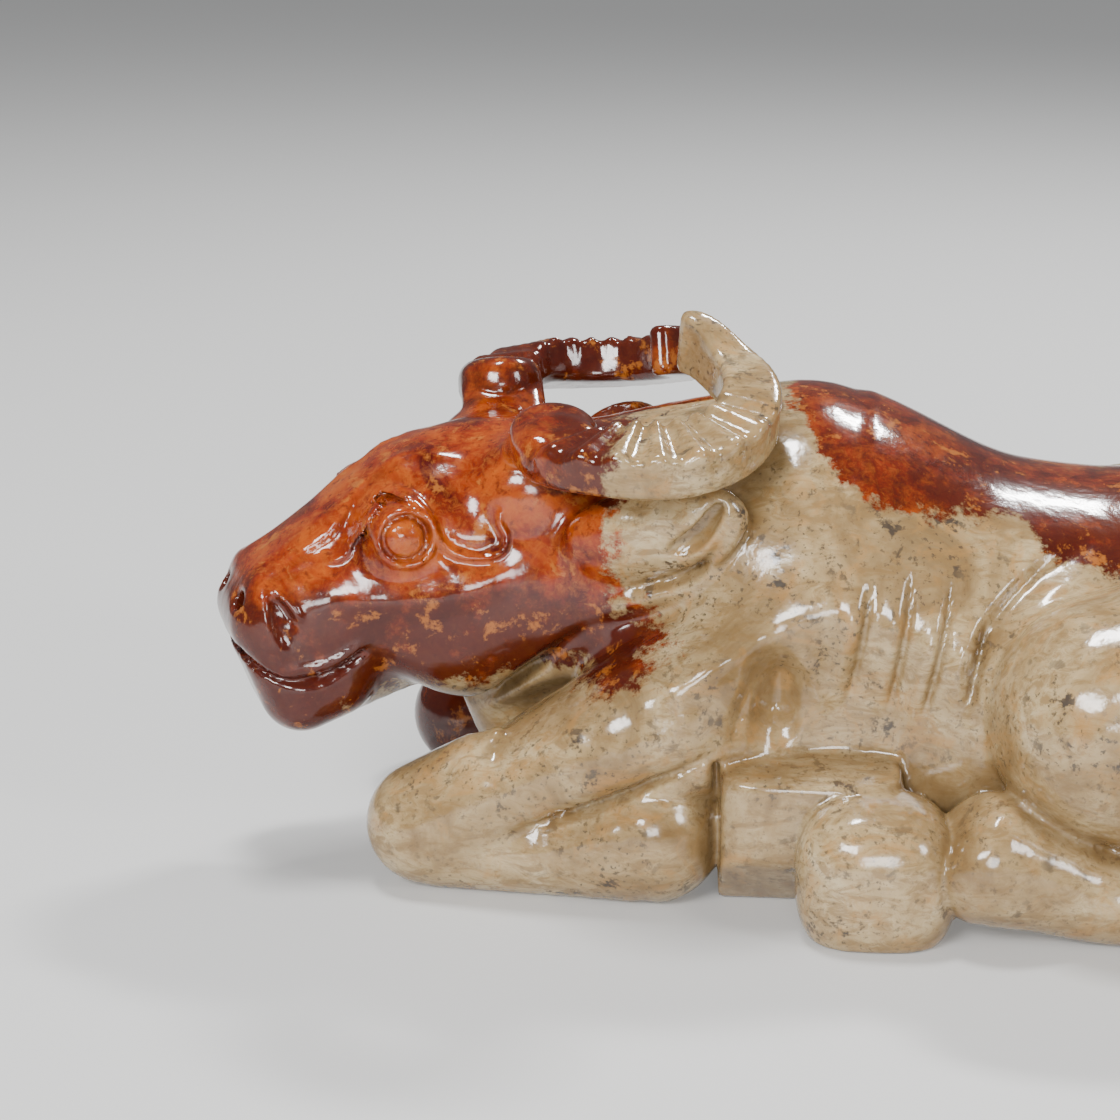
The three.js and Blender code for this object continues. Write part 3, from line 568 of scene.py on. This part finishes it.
# Folds of shoulder, elbow, ear, neck, foreleg and haunch as x and z, with half width and depth.
STROKES = [
    ([(-16.5, 20.6), (-9.3, 24.6), (-3.4, 27.4)], 2.6, -0.7),
    ([(-3.6, 25.0), (-3.2, 21.5), (-3.6, 17.0)], 3.2, 2.7),
    ([(-5.0, 24.6), (-6.2, 20.5), (-7.4, 16.2)], 1.0, 0.7),
    ([(-1.2, 25.8), (0.6, 22.6), (1.6, 19.0)], 1.1, -0.5),
    ([(-21.0, 27.2), (-15.7, 29.0), (-11.0, 31.0), (-8.0, 34.4), (-6.2, 38.8)], 1.2, -0.6),
    ([(-19.0, 29.6), (-13.0, 31.0), (-9.8, 33.4), (-7.9, 37.0)], 0.7, 0.45),
    ([(-21.0, 25.6), (-15.3, 27.0), (-10.0, 29.0)], 1.4, 0.5),
    ([(-33.0, 15.0), (-27.8, 19.8), (-23.9, 23.4), (-20.1, 26.5)], 1.2, 0.8),
    ([(-30.5, 6.0), (-24.8, 8.4), (-19.0, 10.9), (-13.6, 13.7), (-8.6, 16.4)], 2.6, 0.9),
    ([(-29.8, 6.3), (-24.8, 8.4), (-19.0, 10.9), (-13.6, 13.7), (-8.3, 16.4)], 0.9, 1.2),
    ([(26.8, 34.6), (21.6, 32.2), (17.7, 28.9), (15.4, 25.2), (14.7, 21.6), (15.2, 18.0)], 1.8, 1.0),
]


BODY_LOW = (-40, -36, 1)
BODY_HIGH = (40, -8, 42)
RIBS = [
    [(5.6, 32.8), (4.9, 27.0), (3.5, 19.4)],
    [(9.6, 33.4), (8.8, 27.0), (7.3, 18.6)],
    [(13.4, 32.6), (12.3, 26.5), (10.5, 18.2)],
    [(16.4, 28.8), (15.8, 25.2), (14.8, 20.8)],
]
RIBS_LOW = (-2, -32, 14)
RIBS_HIGH = (20, -14, 38)
RIB_RIDGE_SHIFT = 1.3


def carve_body(clay):
    for side in (-1, 1):
        for rib in RIBS:
            body_line(clay, side, RIBS_LOW, RIBS_HIGH, rib, 0.6, 0.6, ends=(0.25, 0.25))
            ridge = [(x - RIB_RIDGE_SHIFT, z) for x, z in rib]
            body_line(clay, side, RIBS_LOW, RIBS_HIGH, ridge, 1.6, -0.45, ends=(0.3, 0.2))
        for line, half, depth in STROKES:
            body_line(clay, side, BODY_LOW, BODY_HIGH, line, half, depth)


def add_tail(clay):
    """A tail half sunk in the rump, its line found on the surface from behind, with a plain tuft."""
    rows = curve(TAIL, 3)
    behind, step, most_steps = 67.0, 0.1, 400
    points = np.column_stack([np.full(len(rows), behind), rows[:, 0], rows[:, 1]])
    for _ in range(most_steps):
        points[:, 0] -= np.where(sample(clay, points) > 0, step, 0)
    clay.add(chain(np.column_stack([points, rows[:, 2]]), 1), 0.5)


def spaced(low, high, fine, coarse, start, stop):
    """Grid lines, fine between start and stop."""
    out = [low]
    while out[-1] < high:
        beyond = max(start - out[-1], out[-1] - stop)
        out.append(out[-1] + fine + (coarse - fine) * float(ease(beyond, 0, 10)))
    return np.array(out)


# Grid along x, y and z: ends, fine and coarse steps, and where the fine steps start and stop.
GRID_X = (-64, 68, 0.34, 0.8, -64, 18)
GRID_Y = (-38, 38, 0.5, 0.9, -32, 14)
GRID_Z = (-1, 57, 0.38, 0.6, 17, 57)


def sculpt():
    clay = Clay(spaced(*GRID_X), spaced(*GRID_Y), spaced(*GRID_Z))
    clay.add(trunk(), 1)
    clay.add(chain(NECK), 6)
    clay.add(chain(DEWLAP), 5)
    for side in (-1, 1):
        add_legs(clay, side)
    add_tail(clay)
    add_head(clay)
    for side in (-1, 1):
        add_ear(clay, side)
        carve_head(clay, side)
    for side in (-1, 1):
        clay.add(horn(side), 0.7)
    carve_body(clay)
    ground = (-clay.axes[2])[None, None, :].astype(np.float32)
    clay.field = np.maximum(clay.field, ground)
    return clay


def skin(clay):
    """One vertex in each cell the surface crosses, one quad on each grid edge it crosses."""
    field, axes = clay.field, clay.axes
    inside = field < 0
    size = np.array(field.shape)
    keys, spots, quads = [], [], []
    for a in range(3):
        others = [b for b in range(3) if b != a]
        near, far = [slice(1, -1)] * 3, [slice(1, -1)] * 3
        near[a], far[a] = slice(0, -1), slice(1, None)
        here = np.argwhere(inside[tuple(near)] != inside[tuple(far)])
        shift = np.array([1, 1, 1])
        shift[a] = 0
        here = here + shift
        there = here.copy()
        there[:, a] += 1
        fa, fb = field[tuple(here.T)], field[tuple(there.T)]
        t = fa / (fa - fb)
        spot = np.stack([axes[i][here[:, i]] for i in range(3)], 1).astype(float)
        spot[:, a] = axes[a][here[:, a]] * (1 - t) + axes[a][there[:, a]] * t
        corners = []
        for da, db in ((0, 0), (-1, 0), (-1, -1), (0, -1)):
            cell = here.copy()
            cell[:, others[0]] += da
            cell[:, others[1]] += db
            key = (cell[:, 0] * size[1] + cell[:, 1]) * size[2] + cell[:, 2]
            keys.append(key)
            spots.append(spot)
            corners.append(key)
        quad = np.stack(corners, 1)
        turn = (fa < 0) if a != 1 else (fa >= 0)
        quad[~turn] = quad[~turn][:, ::-1]
        quads.append(quad)
    keys, spots, quads = np.concatenate(keys), np.vstack(spots), np.vstack(quads)
    unique, inverse = np.unique(keys, return_inverse=True)
    count = np.bincount(inverse)
    points = np.stack([np.bincount(inverse, spots[:, i]) / count for i in range(3)], 1)
    return points, np.searchsorted(unique, quads)


def sample(clay, points):
    """Field value between grid lines."""
    low, share = [], []
    for n in range(3):
        axis = clay.axes[n]
        i = np.clip(np.searchsorted(axis, points[:, n]) - 1, 0, len(axis) - 2)
        low.append(i)
        share.append((points[:, n] - axis[i]) / (axis[i + 1] - axis[i]))
    total = 0
    for c in range(8):
        bit = (c & 1, (c >> 1) & 1, (c >> 2) & 1)
        weight = 1
        for n in range(3):
            weight = weight * (share[n] if bit[n] else 1 - share[n])
        total = total + weight * clay.field[low[0] + bit[0], low[1] + bit[1], low[2] + bit[2]]
    return total


def settle(clay, points):
    """Moves the points onto the surface itself, but for those on the flat underside."""
    step = 0.3
    for _ in range(2):
        value = sample(clay, points)
        rises = [sample(clay, points + step * e) - sample(clay, points - step * e) for e in np.eye(3)]
        slope = np.stack([rise / (2 * step) for rise in rises], 1)
        square = (slope ** 2).sum(1) + 0.05
        move = slope * (value / square)[:, None]
        move = np.clip(move, -0.25, 0.25)
        points = np.where(points[:, 2:] > 0.3, points - move, points)
    points[:, 2] = np.maximum(points[:, 2], 0)
    return points


def nearest_forms(points, forms):
    x, y, z = points[:, 0], points[:, 1], points[:, 2]
    best = np.full(len(points), 99.0)
    for form in forms:
        best = np.minimum(best, form[2](x, y, z))
    return best


# Lower edge of the russet patch on the back: x, and the rise it starts at.
BACK_EDGE_X = (-1.4, 0, 2.4, 5.7, 8.7, 13.6, 19.9, 22.6, 28, 60)
BACK_EDGE_RISE = (44.8, 40.4, 36.4, 34.5, 33.4, 33.3, 33, 29.6, 28.3, 27)
RISE_ACROSS = 0.27


def red_mask(points):
    """How far the russet skin of the stone reaches, below 0 for none."""
    x, y, z = points.T
    near_legs = [chain(side_rows(rows, -1)) for rows in (FOREARM, CANNON)]
    far_legs = [chain(side_rows(rows, 1)) for rows in (FOREARM, CANNON)]
    off_near_leg = (nearest_forms(points, near_legs) - 0.5) / 0.8
    head = np.minimum((-18.5 - x) / 3.0, off_near_leg)
    throat = (z - 17.5 - 0.25 * (x + 40)) / 2.0
    head = np.where(x > -46, np.minimum(head, throat), head)
    knee = np.minimum(1 - nearest_forms(points, far_legs), (-x - 20) / 6)
    far_horn = (y > -1) & (z > 43) & (x < -4)
    rise = z + RISE_ACROSS * y
    edge = np.interp(x, BACK_EDGE_X, BACK_EDGE_RISE)
    back = np.minimum((rise - edge) / 2.2, (x + 2.5) / 2)
    back = np.where(y > 0, np.minimum((z - 37) / 2.6, (x + 2.5) / 2), back)
    patch = 0.75 - np.sqrt(((x + 19) / 6.5) ** 2 + ((z - 24.6 - 0.25 * (x + 19)) / 4.2) ** 2)
    mask = np.maximum(head, back)
    mask = np.where(y > 5, np.maximum(mask, knee), mask)
    mask = np.where(y < 0, np.maximum(mask, patch * 1.6), mask)
    mask = np.where(far_horn, np.maximum(mask, 1.0), mask)
    return np.clip(mask, -1.5, 1.5)


def dark_mask(points):
    """Where the russet skin turns to maroon."""
    x, y, z = points.T
    low_face = np.minimum((27.0 - z) / 7, (-20 - x) / 3) - 0.45 * ease(-x, 43, 50)
    near_spine = np.minimum((38.5 - z - RISE_ACROSS * y) / 2.5, (x - 8) / 3)
    far_spine = np.minimum((z - 37) / 3, (x - 5) / 8)
    spine = np.where(y < 0, near_spine, far_spine)
    far = (y - 4) / 8
    neck = np.minimum((-13 - x) / 4, (29.5 - z) / 3)
    back = np.where((x > -2) & (z > 30), 0.45, -1)
    horn_root = np.where((z > 38) & (y < 0) & (x < -8), (x + 27) / 5, -1)
    return np.clip(np.max([low_face, spine, far, neck, horn_root, back], 0), -1, 1)


def hollow_shade_mask(clay, points):
    """How much other stone closes in on a point, used for patina and painted shade: nothing in the open,
    one deep in a groove.
    """
    step = 0.3
    slope = [sample(clay, points + step * e) - sample(clay, points - step * e) for e in np.eye(3)]
    normal = np.stack(slope, 1)
    normal /= np.linalg.norm(normal, axis=1, keepdims=True) + 1e-9
    room = [sample(clay, points + reach * normal) / reach for reach in (0.8, 2.2)]
    deep = 1.05 - np.minimum(room[0], room[1])
    x, y, z = points.T
    out = np.abs(y)
    # The top of the fore hoof is darkened further here: painted shade as well as patina.
    hoof_top = (x > -8.2) & (x < 9) & (z > 13.4) & (z < 15.9) & (out > 19) & (out < 26.9)
    return np.clip(deep + 0.4 * hoof_top, 0, 1)


class Brush:
    """Adds and links the shader nodes of one material."""

    def __init__(self, material):
        material.use_nodes = True
        self.nodes = material.node_tree.nodes
        self.links = material.node_tree.links
        self.surface = self.nodes["Principled BSDF"]

    def node(self, kind, **values):
        made = self.nodes.new(kind)
        for name, value in values.items():
            if name.startswith("in_"):
                made.inputs[name[3:].replace("_", " ")].default_value = value
            else:
                setattr(made, name, value)
        return made

    def mask(self, name):
        return self.node("ShaderNodeAttribute", attribute_name=name).outputs["Fac"]

    def mapped(self, place, **values):
        made = self.node("ShaderNodeMapping", **values)
        self.links.new(place, made.inputs["Vector"])
        return made.outputs["Vector"]

    def noise(self, place, scale, detail, rough, distort=0.0):
        values = {"in_Scale": scale, "in_Detail": detail, "in_Roughness": rough, "in_Distortion": distort}
        made = self.node("ShaderNodeTexNoise", **values)
        self.links.new(place, made.inputs["Vector"])
        return made.outputs["Fac"]

    def ramp(self, value, stops):
        made = self.node("ShaderNodeValToRGB")
        band = made.color_ramp
        while len(band.elements) < len(stops):
            band.elements.new(0.5)
        for element, (position, color) in zip(band.elements, stops):
            element.position = position
            element.color = (*color, 1)
        self.links.new(value, made.inputs["Fac"])
        return made.outputs["Color"]

    def fade(self, value, low, high, least=0):
        """Rises from least at low to one at high."""
        return self.ramp(value, [(low, (least, least, least)), (high, (1, 1, 1))])

    def mix(self, share, first, second):
        made = self.node("ShaderNodeMix", data_type="RGBA", blend_type="MIX")
        for value, socket in ((share, 0), (first, 6), (second, 7)):
            if isinstance(value, tuple):
                made.inputs[socket].default_value = (*value, 1)
            else:
                self.links.new(value, made.inputs[socket])
        return made.outputs[2]

    def maths(self, kind, first, second):
        made = self.node("ShaderNodeMath", operation=kind)
        for value, socket in ((first, 0), (second, 1)):
            if isinstance(value, (int, float)):
                made.inputs[socket].default_value = value
            else:
                self.links.new(value, made.inputs[socket])
        return made.outputs[0]

    def cover(self, under, share, amount, color):
        """Lays a colour over what is under it, where share is high."""
        return self.mix(self.maths("MULTIPLY", share, amount), under, color)


TAN_BAND = [
    (0.32, (0.16, 0.095, 0.038)),
    (0.46, (0.30, 0.205, 0.098)),
    (0.60, (0.42, 0.315, 0.17)),
    (0.74, (0.52, 0.43, 0.27)),
]
MOTTLE = (0.21, 0.125, 0.048)
OCHRE = (0.37, 0.19, 0.055)
SPECK = (0.06, 0.045, 0.032)
# Brown of patina and painted shade in the hollows of the tan stone.
TAN_PATINA_AND_SHADE = (0.15, 0.088, 0.034)
RUSSET_BAND = [
    (0.36, (0.065, 0.004, 0.002)),
    (0.50, (0.215, 0.022, 0.003)),
    (0.64, (0.35, 0.062, 0.005)),
]
ORANGE = (0.39, 0.10, 0.012)
SOOT = (0.085, 0.011, 0.004)
MAROON = (0.045, 0.006, 0.003)
FLECK = (0.38, 0.12, 0.018)
# Dark of patina and painted shade in the hollows of the russet skin.
RED_PATINA_AND_SHADE = (0.045, 0.006, 0.004)
POLISH = {
    "Roughness": 0.14,
    "IOR": 1.52,
    "Subsurface Weight": 0.08,
    "Subsurface Radius": (1.0, 0.35, 0.12),
    "Subsurface Scale": 0.0022,
    "Coat Weight": 0.12,
    "Coat Roughness": 0.06,
}
MM_PER_METRE = 1000


def tan_stone(brush, place, patina_and_shade):
    """Mottled tan stone with ochre clouds and dark specks, and hollows darkened by patina and painted
    shade.
    """
    streaks = brush.mapped(place, in_Rotation=(0.3, 0.5, 0.4), in_Scale=(0.4, 1.0, 1.0))
    tan = brush.ramp(brush.noise(place, 0.10, 6, 0.62, 0.6), TAN_BAND)
    mottle = brush.fade(brush.noise(streaks, 0.8, 9, 0.7, 0.8), 0.45, 0.60)
    tan = brush.cover(tan, mottle, 0.75, MOTTLE)
    ochre = brush.fade(brush.noise(place, 0.2, 8, 0.66, 1.2), 0.52, 0.66)
    tan = brush.cover(tan, ochre, 0.55, OCHRE)
    zone = brush.fade(brush.noise(place, 0.12, 4, 0.6), 0.40, 0.60, least=0.2)
    blot = brush.fade(brush.noise(place, 0.5, 7, 0.62, 0.3), 0.585, 0.64)
    pepper = brush.fade(brush.noise(place, 1.7, 6, 0.6), 0.575, 0.64)
    specks = brush.maths("MAXIMUM", blot, brush.maths("MULTIPLY", pepper, 0.85))
    tan = brush.cover(tan, specks, zone, SPECK)
    return brush.cover(tan, patina_and_shade, 0.55, TAN_PATINA_AND_SHADE)


def russet_skin(brush, place, patina_and_shade):
    """Russet skin with orange grain and soot, turning to flecked maroon where it is dark, and darkened in
    hollows by patina and painted shade.
    """
    red = brush.ramp(brush.noise(place, 0.14, 6, 0.62, 0.8), RUSSET_BAND)
    grain = brush.fade(brush.noise(place, 0.9, 9, 0.72, 1.0), 0.46, 0.66)
    red = brush.cover(red, grain, 0.5, ORANGE)
    soot = brush.fade(brush.noise(place, 1.1, 8, 0.7, 0.4), 0.54, 0.64)
    red = brush.cover(red, soot, 0.7, SOOT)
    clouds = brush.maths("MULTIPLY", brush.noise(place, 0.3, 8, 0.72), 3.8)
    dark = brush.maths("ADD", brush.mask("dark"), clouds)
    dark = brush.fade(brush.maths("SUBTRACT", dark, 1.7), 0.0, 1.0)
    red = brush.cover(red, dark, 0.88, MAROON)
    fleck = brush.fade(brush.noise(place, 0.33, 9, 0.72, 0.2), 0.57, 0.63)
    red = brush.cover(red, fleck, 0.7, FLECK)
    return brush.cover(red, patina_and_shade, 0.55, RED_PATINA_AND_SHADE)


def jade():
    material = bpy.data.materials.new("two_tone_jade")
    brush = Brush(material)
    metres = brush.node("ShaderNodeTexCoord").outputs["Object"]
    place = brush.mapped(metres, in_Scale=(MM_PER_METRE, MM_PER_METRE, MM_PER_METRE))
    # Patina and painted shade in the hollows, from the hollow mask.
    patina_and_shade = brush.fade(brush.mask("hollow"), 0.25, 0.85)
    tan = tan_stone(brush, place, patina_and_shade)
    red = russet_skin(brush, place, patina_and_shade)
    wander = brush.maths("SUBTRACT", brush.noise(place, 0.34, 10, 0.74), 0.5)
    wander = brush.maths("MULTIPLY", wander, 4.6)
    reach = brush.maths("ADD", brush.maths("ADD", brush.mask("russet"), wander), 0.5)
    color = brush.mix(brush.fade(reach, 0.3, 0.75), tan, red)
    brush.links.new(color, brush.surface.inputs["Base Color"])
    for socket, value in POLISH.items():
        brush.surface.inputs[socket].default_value = value
    bump = brush.node("ShaderNodeBump", in_Strength=0.10, in_Distance=0.0006)
    brush.links.new(brush.noise(place, 0.6, 3, 0.5), bump.inputs["Height"])
    brush.links.new(bump.outputs["Normal"], brush.surface.inputs["Normal"])
    return material


def slim(thing):
    """Brings the mesh under the triangle limit, with the largest triangles on the plain parts."""
    change = thing.modifiers.new("slim", "DECIMATE")
    change.ratio = MOST_TRIANGLES / (2 * len(thing.data.polygons))
    seen = thing.evaluated_get(bpy.context.evaluated_depsgraph_get())
    light_mesh = bpy.data.meshes.new_from_object(seen)
    thing.modifiers.clear()
    thing.data = light_mesh


def ox():
    """The whole carving as one mesh, with its colour masks stored on its points."""
    clay = sculpt()
    points, quads = skin(clay)
    points = settle(clay, points)
    mesh = bpy.data.meshes.new("ox")
    mesh.from_pydata((points * MM).tolist(), [], quads.tolist())
    mesh.update()
    thing = bpy.data.objects.new("ox", mesh)
    bpy.context.scene.collection.objects.link(thing)
    if len(quads) * 2 > MOST_TRIANGLES:
        slim(thing)
    mesh = thing.data
    mesh.polygons.foreach_set("use_smooth", np.ones(len(mesh.polygons), bool))
    kept = np.empty(len(mesh.vertices) * 3)
    mesh.vertices.foreach_get("co", kept)
    kept = kept.reshape(-1, 3) / MM
    masks = {"russet": red_mask(kept), "dark": dark_mask(kept), "hollow": hollow_shade_mask(clay, kept)}
    for name, values in masks.items():
        layer = mesh.attributes.new(name, "FLOAT", "POINT")
        layer.data.foreach_set("value", values.astype(np.float32))
    mesh.materials.append(jade())
    return thing


def floor():
    reach = 3.0
    mesh = bpy.data.meshes.new("floor")
    corners = [(-reach, -reach, 0), (reach, -reach, 0), (reach, reach, 0), (-reach, reach, 0)]
    mesh.from_pydata(corners, [], [(0, 1, 2, 3)])
    material = bpy.data.materials.new("floor")
    material.use_nodes = True
    surface = material.node_tree.nodes["Principled BSDF"]
    surface.inputs["Base Color"].default_value = (0.50, 0.50, 0.495, 1)
    surface.inputs["Roughness"].default_value = 0.6
    surface.inputs["Emission Color"].default_value = (1.0, 1.0, 0.99, 1)
    surface.inputs["Emission Strength"].default_value = 0.16
    mesh.materials.append(material)
    thing = bpy.data.objects.new("floor", mesh)
    bpy.context.scene.collection.objects.link(thing)
    return thing


LIGHT_AIM = Vector((0, 0, 0.02))


def light(name, place, size, watts):
    data = bpy.data.lights.new(name, "AREA")
    data.shape = "RECTANGLE"
    data.size, data.size_y = size
    data.energy = watts
    thing = bpy.data.objects.new(name, data)
    thing.location = place
    thing.rotation_mode = "QUATERNION"
    thing.rotation_quaternion = (LIGHT_AIM - Vector(place)).to_track_quat("-Z", "Y")
    bpy.context.scene.collection.objects.link(thing)


def lights():
    world = bpy.data.worlds.new("studio")
    world.use_nodes = True
    background = world.node_tree.nodes["Background"]
    background.inputs["Color"].default_value = (0.80, 0.82, 0.85, 1)
    background.inputs["Strength"].default_value = 0.22
    bpy.context.scene.world = world
    light("key", (-0.20, -0.46, 0.30), (0.22, 0.13), 3.4)
    light("low", (0.04, -0.52, 0.13), (0.16, 0.12), 1.2)
    light("over", (-0.10, 0.05, 0.60), (0.14, 0.07), 3.0)
    light("top", (0.17, 0.37, 0.46), (0.13, 0.045), 3.4)
    light("side", (0.50, -0.35, 0.34), (0.12, 0.18), 1.6)


AZIMUTH = np.radians(5.0)
ELEVATION = np.radians(15.0)
DISTANCE = 0.300
LENS = 95.0
TARGET = np.array([-0.0255, 0.0, 0.028])


def camera():
    data = bpy.data.cameras.new("camera")
    data.lens = LENS
    data.sensor_width = 36
    data.clip_start = 0.01
    thing = bpy.data.objects.new("camera", data)
    flat = np.cos(ELEVATION)
    away = np.array([np.sin(AZIMUTH) * flat, -np.cos(AZIMUTH) * flat, np.sin(ELEVATION)])
    thing.location = TARGET + away * DISTANCE
    thing.rotation_mode = "QUATERNION"
    thing.rotation_quaternion = Vector(-away).to_track_quat("-Z", "Y")
    bpy.context.scene.collection.objects.link(thing)
    bpy.context.scene.camera = thing


carving = ox()
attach(carving, "root")
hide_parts("jade_ox")
floor()
lights()
camera()
